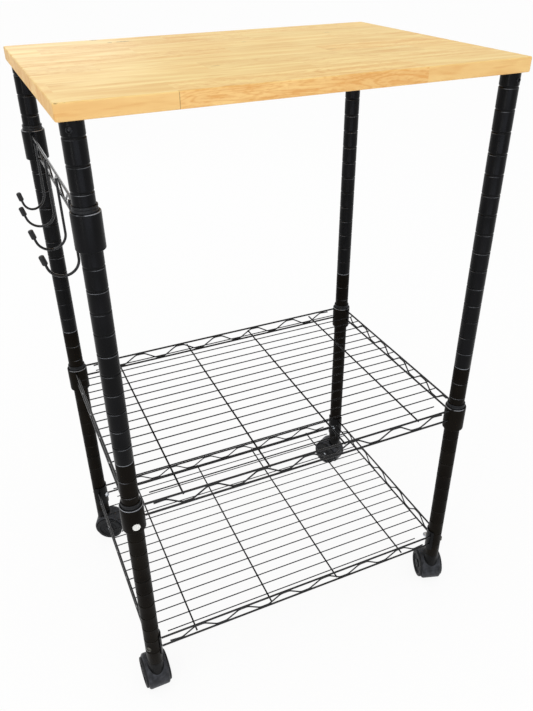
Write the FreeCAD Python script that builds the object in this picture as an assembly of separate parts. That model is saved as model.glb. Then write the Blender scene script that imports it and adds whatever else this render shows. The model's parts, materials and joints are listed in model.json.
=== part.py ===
import FreeCAD, Part
import math
import os

# Rolling kitchen cart: a laminated wooden worktop on four grooved round posts, a wire shelf half way up,
# a wire shelf with its lip upwards near the floor, a rail with four welded hooks on the left side, and
# four twin-wheel casters. Millimetres, Z up, X to the right, Y to the back, floor at Z = 0.

V = FreeCAD.Vector
UP = V(0, 0, 1)
ALONG_X = V(1, 0, 0)
ALONG_Y = V(0, 1, 0)
ORIGIN = V(0, 0, 0)

# Corners of the frame as signs of X and Y: front left, front right, back left, back right
CORNERS = {"fl": (-1, -1), "fr": (1, -1), "bl": (-1, 1), "br": (1, 1)}

# Clearances
weld_gap = 0.03
slip_fit = 0.05
screw_fit = 0.1
running_fit = 0.05
swivel_gap = 0.3

# Worktop
worktop_width = 526.5
worktop_depth = 373.0
worktop_thickness = 16.5
worktop_corner_radius = 3.0
worktop_edge_radius = 1.6

# Posts, rolled tube with a groove every inch, in two lengths joined at one groove
post_inset_x = 16.05
post_inset_y = 13.35
post_diameter = 23.0
post_wall = 1.4
post_run = 779.3
groove_pitch = 25.4
groove_width = 2.6
groove_floor_width = 1.4
groove_depth = 0.7
first_groove_drop = 15.3
joint_groove = 16
groove_end_margin = 6.0

# Coupler between the two lengths of each post, with a thin flange that shows as a bright ring
coupler_depth = 28.0
coupler_flange = 1.0
coupler_flange_inset = 0.2

# Plug in the top of each post, its wood screw and its set screw
plug_length = 40.0
plug_screw_diameter = 5.0
plug_screw_bite = 12.0
plug_head_diameter = 10.0
plug_head_height = 3.5
plug_ledge = 14.0
set_screw_diameter = 4.0
set_screw_drop = 7.8
set_screw_bite = 6.0
set_screw_head_diameter = 6.6
set_screw_head_height = 1.6
set_screw_turn = {"fl": -24.0, "fr": 12.0, "bl": 0.0, "br": 0.0}

# Collars with split sleeves, on the middle shelf and on the hook rail
collar_diameter = 30.6
collar_height = 39.0
collar_wall_top = 2.2
collar_wall_bottom = 1.2
collar_above_rib = 6.2
sleeve_rise = 6.3
sleeve_foot = 1.0
sleeve_split = 0.8
sleeve_rib_height = 1.2
sleeve_rib_depth = 0.5
mid_shelf_groove = 19
rail_groove = 4

# Wires of the shelves and of the hook rail
rim_wire = 3.0
cross_wire = 2.5
deck_wire = 1.7
wave_wire = 2.2
truss_height = 18.0
truss_offset = 4.0
truss_drop = 4.0
wave_pitch = 70.3
side_wave_pitch = 60.6
wave_flat = 15.0
wave_bend = 12.0
wave_end_inset = 12.0
wave_end_run = 5.0
wave_clear = 0.3
cross_wire_inner = 57.5
cross_wire_end_inset = 67.2
deck_gap_count = 18
short_deck_inset = 30.0

# Lower shelf: curved corner plates bolted to the posts across the diagonal
lower_shelf_rise = 36.4
corner_plate_height = 40.0
corner_plate_wall = 1.8
corner_plate_arc = 180.0
shelf_screw_diameter = 4.0
shelf_screw_tail = 1.0
shelf_screw_head_diameter = 8.0
shelf_screw_head_height = 2.0

# Round badge plate on the front left collar of the middle shelf, left bare
badge_diameter = 10.0
badge_rise = 1.0
badge_rim = 1.4
badge_recess = 0.4
badge_height = 12.0

# Hooks welded to the outside of the rail, counted from the back, each with its own turn about its shank
hook_back_inset = 65.45
hook_front_inset = 47.45
hook_yaws = (28.0, -6.0, 0.0, 0.0)
hook_wire = 3.0
hook_head = 0.8
hook_bowl_radius = 17.1
hook_bowl_drop = 63.2
hook_bowl_turn = 164.0
hook_tip_stand = 3.5
hook_tip_diameter = 6.2
hook_tip_length = 11.3
hook_tip_round = 1.6
hook_tip_bore = 8.5

# Casters: a hood over two wheels, swivelling on a stem held in a socket in the post
wheel_diameter = 46.0
wheel_hub_diameter = 14.0
wheel_recess_outer = 35.0
wheel_recess_depth = 2.6
wheel_hub_recess = 2.2
wheel_shoulder = 2.6
caster_trail = 11.0
hood_gap = 1.1
hood_wall = 2.9
hood_width = 33.0
hood_round = 4.0
wheel_proud = 3.0
hood_lip_drop = 11.0
web_thickness = 7.0
web_gap = 0.7
barrel_rise = 10.0
barrel_sink = 1.8
axle_diameter = 5.0
axle_head_diameter = 8.4
axle_head_thickness = 1.2
axle_head_gap = 0.2
stem_diameter = 8.0
stem_engagement = 26.0
stem_seat = 12.0
socket_length = 48.0
socket_flange = 1.4
socket_bore_spare = 1.0
caster_yaw = {"fl": 0.0, "fr": -18.0, "bl": -114.0, "br": 29.0}

# Values worked out from the sizes above
post_r = post_diameter / 2
post_inner_r = post_r - post_wall
plug_r = post_inner_r - slip_fit
rim_r = rim_wire / 2
cross_r = cross_wire / 2
deck_r = deck_wire / 2
wave_r = wave_wire / 2
collar_r = collar_diameter / 2
post_spacing_x = worktop_width - 2 * post_inset_x
post_spacing_y = worktop_depth - 2 * post_inset_y
half_x = post_spacing_x / 2
half_y = post_spacing_y / 2
cross_wire_outer = half_x - cross_wire_end_inset
hook_pitch = (post_spacing_y - hook_back_inset - hook_front_inset) / (len(hook_yaws) - 1)

axle_z = wheel_diameter / 2
cavity_r = wheel_diameter / 2 + hood_gap
hood_r = cavity_r + hood_wall
barrel_top = axle_z + hood_r + barrel_rise
socket_foot = barrel_top + swivel_gap
post_foot = socket_foot + socket_flange
post_top = post_foot + post_run
worktop_under = post_top + weld_gap
first_groove_z = post_top - first_groove_drop
joint_z = first_groove_z - groove_pitch * (joint_groove - 1)
lower_shelf_z = post_foot + lower_shelf_rise
plate_inner_r = post_r + slip_fit
plate_outer_r = plate_inner_r + corner_plate_wall


def groove_z(number):
    """Height of a post groove, counted from 1 at the top."""
    return first_groove_z - groove_pitch * (number - 1)


def collar_top_z(number):
    """Top of a collar whose sleeve rib sits in the given groove."""
    return groove_z(number) + collar_above_rib


def post_centre(corner, height=0.0):
    """Point on a post's axis."""
    side_x, side_y = CORNERS[corner]
    return V(side_x * half_x, side_y * half_y, height)


def outward_diagonal(corner):
    """Unit vector from the middle of the cart out through a post."""
    side_x, side_y = CORNERS[corner]
    return V(side_x, side_y, 0).normalize()


def revolved(profile, base=ORIGIN):
    """Turn a list of (radius, height) points about a vertical axis."""
    points = [V(radius, 0, height) for radius, height in profile]
    face = Part.Face(Part.makePolygon(points + points[:1]))
    solid = face.revolve(ORIGIN, UP, 360)
    return solid.translated(base)


def tube_round(edges, radius):
    """Carry a round wire section along a path of tangent edges."""
    path = Part.Wire(edges)
    start = edges[0].valueAt(edges[0].FirstParameter)
    heading = edges[0].tangentAt(edges[0].FirstParameter)
    section = Part.Wire([Part.makeCircle(radius, start, heading)])
    solid = path.makePipeShell([section], True, False)
    if solid.Volume < 0:
        solid.reverse()
    return solid


def rounded_path(points, bend):
    """Straight runs through the points with an arc at every corner."""
    edges = []
    start = points[0]
    for before, corner, after in zip(points, points[1:], points[2:]):
        back = (before - corner).normalize()
        ahead = (after - corner).normalize()
        half_turn = (math.pi - back.getAngle(ahead)) / 2
        shorter = min((before - corner).Length, (after - corner).Length)
        reach = min(bend * math.tan(half_turn), 0.45 * shorter)
        radius = reach / math.tan(half_turn)
        enter = corner + back * reach
        leave = corner + ahead * reach
        bisector = (back + ahead).normalize()
        middle = corner + bisector * (radius / math.cos(half_turn) - radius)
        edges.append(Part.LineSegment(start, enter).toShape())
        edges.append(Part.Arc(enter, middle, leave).toShape())
        start = leave
    edges.append(Part.LineSegment(start, points[-1]).toShape())
    return edges


def straight_wire(start, end, radius):
    """A straight round wire."""
    run = end - start
    return Part.makeCylinder(radius, run.Length, start, run)


def place_side(shape, angle, x, y):
    """Turn a truss made along X about the vertical axis and set it on its side of the shelf."""
    turned = shape.copy()
    turned.rotate(ORIGIN, UP, angle)
    return turned.translated(V(x, y, 0))


def save(name, solids):
    """Keep one named piece, which may be a group of like solids."""
    pieces[name] = Part.makeCompound(solids) if len(solids) > 1 else solids[0]


# Worktop

def worktop():
    """Edge-glued board with rounded edges and a blind pilot hole over each post."""
    board = Part.makeBox(worktop_width, worktop_depth, worktop_thickness,
                         V(-worktop_width / 2, -worktop_depth / 2, worktop_under))
    uprights = [e for e in board.Edges if abs(e.tangentAt(e.FirstParameter).z) > 0.9]
    board = board.makeFillet(worktop_corner_radius, uprights)
    level = [e for e in board.Edges if abs(e.BoundBox.ZLength) < weld_gap]
    board = board.makeFillet(worktop_edge_radius, level)
    for corner in CORNERS:
        pilot = Part.makeCylinder(plug_screw_diameter / 2 + slip_fit, plug_screw_bite + screw_fit,
                                  post_centre(corner, worktop_under))
        board = board.cut(pilot)
    return board


# Posts and what is inside them

def grooved_tube(foot, top):
    """Round tube between two heights with every groove that falls on it."""
    profile = [(post_inner_r, foot), (post_r, foot)]
    last = int((first_groove_z - foot) / groove_pitch) + 1
    for number in range(last, 0, -1):
        middle = groove_z(number)
        if foot + groove_end_margin < middle < top - groove_end_margin:
            profile += [(post_r, middle - groove_width / 2),
                        (post_r - groove_depth, middle - groove_floor_width / 2),
                        (post_r - groove_depth, middle + groove_floor_width / 2),
                        (post_r, middle + groove_width / 2)]
    profile += [(post_r, top), (post_inner_r, top)]
    return revolved(profile)


def upper_post(corner):
    """Upper length of a post, with the hole for its set screw."""
    tube = grooved_tube(joint_z + coupler_flange / 2, post_top)
    hole = Part.makeCylinder(set_screw_diameter / 2 + screw_fit, post_diameter,
                             V(0, 0, set_screw_z), set_screw_heading(corner))
    return tube.cut(hole).translated(post_centre(corner))


def lower_post(corner):
    """Lower length of a post, drilled across the diagonal for the shelf screw."""
    tube = grooved_tube(post_foot, joint_z - coupler_flange / 2)
    heading = outward_diagonal(corner)
    hole = Part.makeCylinder(shelf_screw_diameter / 2 + screw_fit, 2 * post_diameter,
                             V(0, 0, lower_shelf_z) - heading * post_diameter, heading)
    return tube.cut(hole).translated(post_centre(corner))


def post_coupler(corner):
    """Turned plug that joins the two lengths of a post."""
    flange_r = post_r - coupler_flange_inset
    flange_foot = joint_z - coupler_flange / 2 + weld_gap
    flange_top = joint_z + coupler_flange / 2 - weld_gap
    profile = [(0, joint_z - coupler_depth), (plug_r, joint_z - coupler_depth),
               (plug_r, flange_foot), (flange_r, flange_foot), (flange_r, flange_top), (plug_r, flange_top),
               (plug_r, joint_z + coupler_depth), (0, joint_z + coupler_depth)]
    return revolved(profile, post_centre(corner))


set_screw_z = post_top - set_screw_drop


def set_screw_heading(corner):
    """Set screws face the front on the front posts and the back on the back posts, each with its turn."""
    turn = math.radians(set_screw_turn[corner])
    side_y = CORNERS[corner][1]
    return V(-side_y * math.sin(turn), side_y * math.cos(turn), 0)


def top_plug(corner):
    """Plug screwed under the worktop, over which the post slips."""
    foot = post_top - plug_length
    ledge = post_top - plug_ledge
    head_r = plug_head_diameter / 2 + screw_fit
    hole_r = plug_screw_diameter / 2 + slip_fit
    plug = revolved([(head_r, foot), (plug_r, foot), (plug_r, post_top), (hole_r, post_top),
                     (hole_r, ledge), (head_r, ledge)])
    heading = set_screw_heading(corner)
    end = V(0, 0, set_screw_z) + heading * (post_r - set_screw_bite - screw_fit)
    bite = Part.makeCylinder(set_screw_diameter / 2 + slip_fit, plug_r, end, heading)
    return plug.cut(bite).translated(post_centre(corner))


def top_plug_screw(corner):
    """Pan-head wood screw up through the plug into the worktop."""
    ledge = post_top - plug_ledge - weld_gap
    shank_r = plug_screw_diameter / 2
    head_r = plug_head_diameter / 2
    tip = worktop_under + plug_screw_bite
    return revolved([(0, ledge - plug_head_height), (head_r, ledge - plug_head_height), (head_r, ledge),
                     (shank_r, ledge), (shank_r, tip - shank_r), (0, tip)], post_centre(corner))


def dome_screw(base, heading, shank, diameter, head_diameter, head_height):
    """Button-head screw: base is where the head seats, heading points out of the head."""
    head_r = head_diameter / 2
    dome_r = (head_r * head_r + head_height * head_height) / (2 * head_height)
    dome = Part.makeSphere(dome_r, base - heading * (dome_r - head_height))
    slab = Part.makeCylinder(head_r, head_height, base, heading)
    socket = Part.makeCylinder(diameter / 3, head_height / 2, base + heading * (head_height / 2), heading)
    head = dome.common(slab).cut(socket)
    body = Part.makeCylinder(diameter / 2, shank, base - heading * shank, heading)
    return head.fuse(body).removeSplitter()


def set_screw(corner):
    """Button-head screw that locks a post to its plug."""
    heading = set_screw_heading(corner)
    base = post_centre(corner, set_screw_z) + heading * (post_r + weld_gap)
    return dome_screw(base, heading, set_screw_bite, set_screw_diameter,
                      set_screw_head_diameter, set_screw_head_height)


# Collars and sleeves

def collar(corner, number):
    """Round collar with a tapered bore, widest at its foot."""
    top = collar_top_z(number)
    foot = top - collar_height
    return revolved([(collar_r - collar_wall_bottom, foot), (collar_r, foot), (collar_r, top),
                     (collar_r - collar_wall_top, top)], post_centre(corner))


def sleeve_halves(corner, number):
    """Split sleeve that wedges in a collar, with a rib in a post groove."""
    top = collar_top_z(number)
    foot = top - collar_height + sleeve_foot
    taper = (collar_wall_top - collar_wall_bottom) / collar_height
    outer_top = collar_r - collar_wall_top - slip_fit
    inner = post_r + slip_fit
    rib = groove_z(number)
    outer_foot = outer_top + taper * (collar_height - sleeve_foot)
    body = revolved([(inner, foot), (outer_foot, foot), (outer_top, top),
                     (outer_top, top + sleeve_rise), (inner, top + sleeve_rise),
                     (inner, rib + sleeve_rib_height / 2),
                     (post_r - sleeve_rib_depth, rib + sleeve_rib_height / 4),
                     (post_r - sleeve_rib_depth, rib - sleeve_rib_height / 4),
                     (inner, rib - sleeve_rib_height / 2)])
    reach = collar_diameter
    tall = collar_height + sleeve_rise
    halves = []
    for side in (-1, 1):
        near = min(side * sleeve_split / 2, side * reach)
        keep = Part.makeBox(2 * reach, reach - sleeve_split / 2, tall, V(-reach, near, foot))
        halves.append(body.common(keep).translated(post_centre(corner)))
    return halves


# Wire shelves and the hook rail

def wave_points(half_length, low, high, pitch, start):
    """Corner points of the trapezoid wave with a low flat at start, cut off at both ends of the truss."""
    first = int(math.floor((-half_length - start) / pitch)) - 1
    last = int(math.ceil((half_length - start) / pitch)) + 1
    full = []
    for number in range(first, last + 1):
        middle = start + number * pitch
        crest = middle + pitch / 2
        full += [(middle - wave_flat / 2, low), (middle + wave_flat / 2, low),
                 (crest - wave_flat / 2, high), (crest + wave_flat / 2, high)]

    def height_at(x):
        for (x0, z0), (x1, z1) in zip(full, full[1:]):
            if x0 <= x <= x1:
                return z0 + (z1 - z0) * (x - x0) / (x1 - x0)
        return low

    reach = half_length - wave_end_run
    inside = [(x, z) for x, z in full if -reach < x < reach]
    ends = [(-half_length, height_at(-half_length)), (half_length, height_at(half_length))]
    return [V(x, 0, z) for x, z in ends[:1] + inside + ends[1:]]


def truss(rim_half, wave_half, low, high, flipped, pitch, start):
    """Two rim wires with the wave wire between them, made along X."""
    bottom = low + rim_r + wave_r + weld_gap
    crest = high - rim_r - wave_r - weld_gap
    if flipped:
        bottom, crest = crest, bottom
    points = wave_points(wave_half, bottom, crest, pitch, start)
    wave = tube_round(rounded_path(points, wave_bend), wave_r)
    return [straight_wire(V(-rim_half, 0, low), V(rim_half, 0, low), rim_r),
            straight_wire(V(-rim_half, 0, high), V(rim_half, 0, high), rim_r), wave]


def rim_reach(spacing, seat_r):
    """Half length of a rim wire that ends against the round seats at two posts."""
    return spacing / 2 - math.sqrt(seat_r ** 2 - (truss_offset - rim_r) ** 2) - weld_gap


def side_truss(spacing, seat_r, low, high, flipped, pitch=wave_pitch, from_front=False):
    """Truss that spans two posts, its wave centred or counted from its front end."""
    wave_half = spacing / 2 - seat_r - wave_end_inset
    start = -wave_half if from_front else 0
    return truss(rim_reach(spacing, seat_r), wave_half, low, high, flipped, pitch, start)


def shelf(prefix, low, seat_r, deck_up):
    """Four trusses, the cross wires and the deck wires of one shelf."""
    high = low + truss_height
    long_side = side_truss(post_spacing_x, seat_r, low, high, deck_up)
    short_side = side_truss(post_spacing_y, seat_r, low, high, deck_up, side_wave_pitch, True)
    out_x = half_x + truss_offset
    out_y = half_y + truss_offset
    save(prefix + "_front_truss", [place_side(s, 0, 0, -out_y) for s in long_side])
    save(prefix + "_back_truss", [place_side(s, 0, 0, out_y) for s in long_side])
    save(prefix + "_left_truss", [place_side(s, 90, -out_x, 0) for s in short_side])
    save(prefix + "_right_truss", [place_side(s, 90, out_x, 0) for s in short_side])

    # Deck wires are welded under the inner edge of the side rims, and the cross wires behind the deck wires
    side = 1 if deck_up else -1
    rim = high if deck_up else low
    end_inset = wave_r + wave_clear
    seat = rim - side * (math.sqrt(rim_r ** 2 - end_inset ** 2) + weld_gap)
    deck_z = seat - side * deck_r
    cross_z = deck_z - side * (deck_r + cross_r + weld_gap)
    cross_half = out_y - end_inset
    crosses = []
    for x in (-cross_wire_outer, -cross_wire_inner, cross_wire_inner, cross_wire_outer):
        crosses.append(straight_wire(V(x, -cross_half, cross_z), V(x, cross_half, cross_z), cross_r))
    save(prefix + "_cross_wires", crosses)

    deck_pitch = 2 * out_y / deck_gap_count
    deck = []
    for number in range(1, deck_gap_count):
        half = out_x - end_inset
        if number in (1, deck_gap_count - 1):
            half -= short_deck_inset
        y = -out_y + number * deck_pitch
        deck.append(straight_wire(V(-half, y, deck_z), V(half, y, deck_z), deck_r))
    save(prefix + "_deck_wires", deck)


def corner_plate(corner):
    """Curved plate that hugs the inner side of a post, drilled for the shelf screw."""
    foot = lower_shelf_z - corner_plate_height / 2
    outward = outward_diagonal(corner)
    ring = Part.makeCylinder(plate_outer_r, corner_plate_height, V(0, 0, foot), UP)
    ring = ring.cut(Part.makeCylinder(plate_inner_r, corner_plate_height, V(0, 0, foot), UP))
    start = math.degrees(math.atan2(-outward.y, -outward.x)) - corner_plate_arc / 2
    wedge = Part.makeCylinder(2 * plate_outer_r, corner_plate_height, V(0, 0, foot), UP, corner_plate_arc)
    wedge.rotate(ORIGIN, UP, start)
    hole = Part.makeCylinder(shelf_screw_diameter / 2 + slip_fit, 2 * plate_outer_r,
                             V(0, 0, lower_shelf_z), -outward)
    return ring.common(wedge).cut(hole).translated(post_centre(corner))


def shelf_screw(corner):
    """Button-head screw across a post into the corner plate."""
    heading = outward_diagonal(corner)
    base = post_centre(corner, lower_shelf_z) + heading * (post_r + weld_gap)
    shank = post_r + plate_outer_r + shelf_screw_tail
    return dome_screw(base, heading, shank, shelf_screw_diameter,
                      shelf_screw_head_diameter, shelf_screw_head_height)


def badge():
    """Bare round plate on the front left collar of the middle shelf, with a raised rim."""
    height = collar_top_z(mid_shelf_groove) - collar_height + badge_height
    face = collar_r + badge_rise
    front = V(0, -1, 0)
    disc = Part.makeCylinder(badge_diameter / 2, collar_r, V(0, 0, height) + front * badge_rise, front)
    disc = disc.cut(Part.makeCylinder(badge_diameter / 2 - badge_rim, badge_recess,
                                      V(0, 0, height) + front * (face - badge_recess), front))
    disc = disc.cut(Part.makeCylinder(collar_r + weld_gap, collar_height,
                                      V(0, 0, height - collar_height / 2), UP))
    return disc.translated(post_centre("fl"))


# Hooks on the left rail

rail_high = collar_top_z(rail_groove) - truss_drop
rail_low = rail_high - truss_height
rail_x = -half_x - truss_offset
hook_r = hook_wire / 2
hook_x = rail_x - rim_r - hook_r - weld_gap
bowl_z = rail_high - hook_bowl_drop
bowl_centre = V(-hook_bowl_radius, 0, bowl_z)
bowl_lift = math.radians(180 - hook_bowl_turn)
bowl_end = bowl_centre - V(math.cos(bowl_lift), 0, math.sin(bowl_lift)) * hook_bowl_radius
tip_heading = V(-math.sin(bowl_lift), 0, math.cos(bowl_lift))
tip_base = bowl_end + tip_heading * hook_tip_stand


def on_rail(shape, number):
    """Turn a hook piece about its shank and set it at its place on the rail."""
    turned = shape.copy()
    turned.rotate(ORIGIN, UP, hook_yaws[number])
    return turned.translated(V(hook_x, half_y - hook_back_inset - number * hook_pitch, 0))


def hook():
    """Wire hook with its shank on the vertical axis: down past both rail wires and up in a bowl."""
    shank_end = V(0, 0, bowl_z)
    half_turn = math.radians(hook_bowl_turn / 2)
    bowl_middle = bowl_centre + V(math.cos(half_turn), 0, -math.sin(half_turn)) * hook_bowl_radius
    edges = [Part.LineSegment(V(0, 0, rail_high + hook_head), shank_end).toShape(),
             Part.Arc(shank_end, bowl_middle, bowl_end).toShape(),
             Part.LineSegment(bowl_end, tip_base + tip_heading * (hook_tip_bore - screw_fit)).toShape()]
    return tube_round(edges, hook_r)


def hook_tip():
    """Barrel cap pushed on the end of a hook."""
    cap = Part.makeCylinder(hook_tip_diameter / 2, hook_tip_length, tip_base, tip_heading)
    cap = cap.makeFillet(hook_tip_round, [e for e in cap.Edges if len(e.Vertexes) == 1])
    return cap.cut(Part.makeCylinder(hook_r + slip_fit, hook_tip_bore, tip_base, tip_heading))


# Casters, made with the swivel axis at the origin and the axle along X

def on_corner(shape, corner):
    """Turn a caster piece to its resting yaw and set it under its post."""
    turned = shape.copy()
    turned.rotate(ORIGIN, UP, caster_yaw[corner])
    return turned.translated(post_centre(corner))


def axle_cylinder(radius, start, end):
    """Cylinder about the wheel axle between two places along it."""
    return Part.makeCylinder(radius, end - start, V(start, caster_trail, axle_z), ALONG_X)


def caster_housing():
    """Hood open at its sides, swivel barrel and the web that carries the axle, in one moulding."""
    half = hood_width / 2
    web = web_thickness / 2
    hood = axle_cylinder(hood_r, -half, half)
    hood = hood.makeFillet(hood_round, [e for e in hood.Edges if len(e.Vertexes) == 1])
    front = min(caster_trail + post_r, hood_r)
    barrel_foot = axle_z + math.sqrt(hood_r ** 2 - front ** 2) - barrel_sink
    barrel = Part.makeCylinder(post_r, barrel_top - barrel_foot, V(0, 0, barrel_foot), UP)
    body = hood.fuse(barrel)
    for side in (-1, 1):
        inner, outer = sorted((side * web, side * hood_width))
        body = body.cut(axle_cylinder(cavity_r, inner, outer))
    below = Part.makeBox(2 * hood_width, 4 * hood_r, 2 * hood_r,
                         V(-hood_width, -2 * hood_r, axle_z - hood_lip_drop - 2 * hood_r))
    body = body.cut(below)
    body = body.cut(axle_cylinder(axle_diameter / 2 + slip_fit, -half, half))
    seat = stem_seat + screw_fit
    body = body.cut(Part.makeCylinder(stem_diameter / 2 + slip_fit, seat, V(0, 0, barrel_top - seat), UP))
    return body.removeSplitter()


wheel_inner = web_thickness / 2 + web_gap
wheel_outer = hood_width / 2 + wheel_proud
hub_face = wheel_outer - wheel_hub_recess


def caster_wheel(side):
    """One of the two wheels of a caster, dished on its outer face."""
    bore = axle_diameter / 2 + running_fit
    rim = wheel_diameter / 2
    dish = wheel_outer - wheel_recess_depth
    shoulder_ease = wheel_shoulder * (1 - math.sqrt(0.5))
    profile = [(bore, wheel_inner), (rim - web_gap, wheel_inner), (rim, wheel_inner + web_gap),
               (rim, wheel_outer - wheel_shoulder), (rim - shoulder_ease, wheel_outer - shoulder_ease),
               (rim - wheel_shoulder, wheel_outer), (wheel_recess_outer / 2, wheel_outer),
               (wheel_recess_outer / 2 - web_gap, dish), (wheel_hub_diameter / 2 + web_gap, dish),
               (wheel_hub_diameter / 2, hub_face), (bore, hub_face)]
    wheel = revolved(profile)
    wheel.rotate(ORIGIN, ALONG_Y, 90 * side)
    return wheel.translated(V(0, caster_trail, axle_z))


def caster_pins():
    """Steel stem in the barrel, and the axle with a head at each end."""
    stem_top = socket_foot + stem_engagement
    stem_foot = barrel_top - stem_seat
    stem = Part.makeCylinder(stem_diameter / 2, stem_top - stem_foot, V(0, 0, stem_foot), UP)
    end = hub_face + axle_head_gap
    axle = axle_cylinder(axle_diameter / 2, -end, end)
    for side in (-1, 1):
        inner, outer = sorted((side * end, side * (end + axle_head_thickness)))
        axle = axle.fuse(axle_cylinder(axle_head_diameter / 2, inner, outer))
    return [stem, axle.removeSplitter()]


def caster_socket(corner):
    """Insert in the foot of a post: a blind bore for the stem and a cross hole for the shelf screw."""
    top = post_foot + socket_length
    bore_r = stem_diameter / 2 + running_fit
    bore_top = socket_foot + stem_engagement + socket_bore_spare
    body = revolved([(bore_r, socket_foot), (post_r, socket_foot), (post_r, post_foot - weld_gap),
                     (plug_r, post_foot - weld_gap), (plug_r, top), (0, top),
                     (0, bore_top), (bore_r, bore_top)])
    heading = outward_diagonal(corner)
    hole = Part.makeCylinder(shelf_screw_diameter / 2 + slip_fit, 2 * post_diameter,
                             V(0, 0, lower_shelf_z) - heading * post_diameter, heading)
    return body.cut(hole).translated(post_centre(corner))


# Assembly

pieces = {}

save("worktop", [worktop()])
save("top_plugs", [top_plug(c) for c in CORNERS])
save("top_plug_screws", [top_plug_screw(c) for c in CORNERS])
save("post_set_screws", [set_screw(c) for c in CORNERS])
for name in CORNERS:
    save("upper_post_" + name, [upper_post(name)])
    save("lower_post_" + name, [lower_post(name)])
save("post_couplers", [post_coupler(c) for c in CORNERS])

save("mid_collars", [collar(c, mid_shelf_groove) for c in CORNERS])
save("mid_sleeves", [half for c in CORNERS for half in sleeve_halves(c, mid_shelf_groove)])
save("badge", [badge()])
shelf("mid", collar_top_z(mid_shelf_groove) - truss_drop - truss_height, collar_r, True)

save("corner_plates", [corner_plate(c) for c in CORNERS])
save("shelf_screws", [shelf_screw(c) for c in CORNERS])
shelf("lower", lower_shelf_z - truss_height / 2, plate_outer_r, False)

rail_corners = ("bl", "fl")
save("rail_collars", [collar(c, rail_groove) for c in rail_corners])
save("rail_sleeves", [half for c in rail_corners for half in sleeve_halves(c, rail_groove)])
rail = side_truss(post_spacing_y, collar_r, rail_low, rail_high, False)
save("hook_rail", [place_side(s, 90, rail_x, 0) for s in rail])
one_hook = hook()
one_tip = hook_tip()
for number in range(len(hook_yaws)):
    save("hook_%d" % (number + 1), [on_rail(one_hook, number)])
save("hook_tips", [on_rail(one_tip, number) for number in range(len(hook_yaws))])

save("caster_sockets", [caster_socket(c) for c in CORNERS])
housing = caster_housing()
pins = caster_pins()
wheels = {"left": caster_wheel(-1), "right": caster_wheel(1)}
for name in CORNERS:
    save("caster_housing_" + name, [on_corner(housing, name)])
    save("caster_pins_" + name, [on_corner(pin, name) for pin in pins])
    for side, wheel in wheels.items():
        save("wheel_%s_%s" % (side, name), [on_corner(wheel, name)])

# The part's origin is on the floor under the middle of its outline, so every piece is set from there
outline = Part.makeCompound(list(pieces.values())).optimalBoundingBox(False, False)
to_frame = V(-outline.Center.x, -outline.Center.y, 0)
os.makedirs("parts", exist_ok=True)
for name, piece in pieces.items():
    piece.translated(to_frame).exportStep("parts/%s.step" % name)

print("frame shift", round(to_frame.x, 4), round(to_frame.y, 4))
print("size", round(outline.XLength, 2), round(outline.YLength, 2), round(outline.ZLength, 2))
print("pieces", len(pieces))
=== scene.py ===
"""Rolling kitchen cart: finished surfaces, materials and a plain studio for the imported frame.

Lengths in the settings are in metres, in the frame's own axes: X along the worktop, Y to the back, Z up.
"""
import json
import math
from functools import cache

import bmesh
import bpy
import numpy as np
from bpy.props import FloatProperty, FloatVectorProperty, PointerProperty
from bpy.types import Operator, Panel, PropertyGroup
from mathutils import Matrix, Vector


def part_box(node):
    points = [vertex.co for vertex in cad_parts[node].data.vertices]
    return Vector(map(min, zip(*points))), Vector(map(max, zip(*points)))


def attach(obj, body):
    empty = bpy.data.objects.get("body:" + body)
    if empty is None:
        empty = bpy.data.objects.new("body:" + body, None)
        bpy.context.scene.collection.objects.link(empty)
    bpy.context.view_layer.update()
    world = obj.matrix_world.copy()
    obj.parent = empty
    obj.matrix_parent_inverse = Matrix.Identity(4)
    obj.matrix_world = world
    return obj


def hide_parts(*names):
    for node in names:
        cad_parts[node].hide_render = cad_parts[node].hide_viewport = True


bl_info = {
    "name": "Rolling kitchen cart",
    "version": (1, 0, 0),
    "blender": (4, 5, 0),
    "location": "View3D > Sidebar > Cart",
    "description": "Builds the finished pieces of a wire shelf cart and a studio to show it in",
    "category": "Object",
}

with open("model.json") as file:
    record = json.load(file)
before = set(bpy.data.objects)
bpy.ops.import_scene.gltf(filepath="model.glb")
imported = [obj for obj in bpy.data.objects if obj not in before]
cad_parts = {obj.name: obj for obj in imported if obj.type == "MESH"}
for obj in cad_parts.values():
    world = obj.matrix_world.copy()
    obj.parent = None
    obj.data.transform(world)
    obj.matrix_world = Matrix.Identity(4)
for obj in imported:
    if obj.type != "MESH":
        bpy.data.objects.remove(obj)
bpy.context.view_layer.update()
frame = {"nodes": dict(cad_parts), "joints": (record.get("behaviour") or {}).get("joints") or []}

MM = 0.001
CORNERS = ("fl", "fr", "bl", "br")
FRONT = np.array([0.0, -1.0, 0.0])

# Points closer than this are one point
MERGE = 0.0001 * MM

# Points of a node within this of a post's axis belong to that post
NEAR_POST = 40 * MM

# Points on an eased corner, and deck wires between a shelf's front and back trusses
EASE_STEPS = 7
DECK_WIRES = 17

# Height of the picture in pixels, and of the camera's sensor in mm
PICTURE_HEIGHT = 711
SENSOR_HEIGHT = 36.0

# Sockets of a Mix node in colour mode: its share, its two colours and its result
SHARE, FIRST, SECOND, MIXED = 0, 6, 7, 2


def linear(code):
    """An sRGB hex colour as linear red, green, blue and alpha."""
    level = np.array([int(code[i:i + 2], 16) for i in (1, 3, 5)]) / 255
    bent = np.where(level <= 0.04045, level / 12.92, ((level + 0.055) / 1.055) ** 2.4)
    return (*bent.tolist(), 1.0)


def number_setting(label, note, value, **limits):
    """A number that shows in the sidebar."""
    return FloatProperty(name=label, description=note, default=value, **limits)


def length_setting(label, note, value):
    """A length in metres that shows in the sidebar."""
    return number_setting(label, note, value, min=0.0, precision=5, unit="LENGTH")


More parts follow.
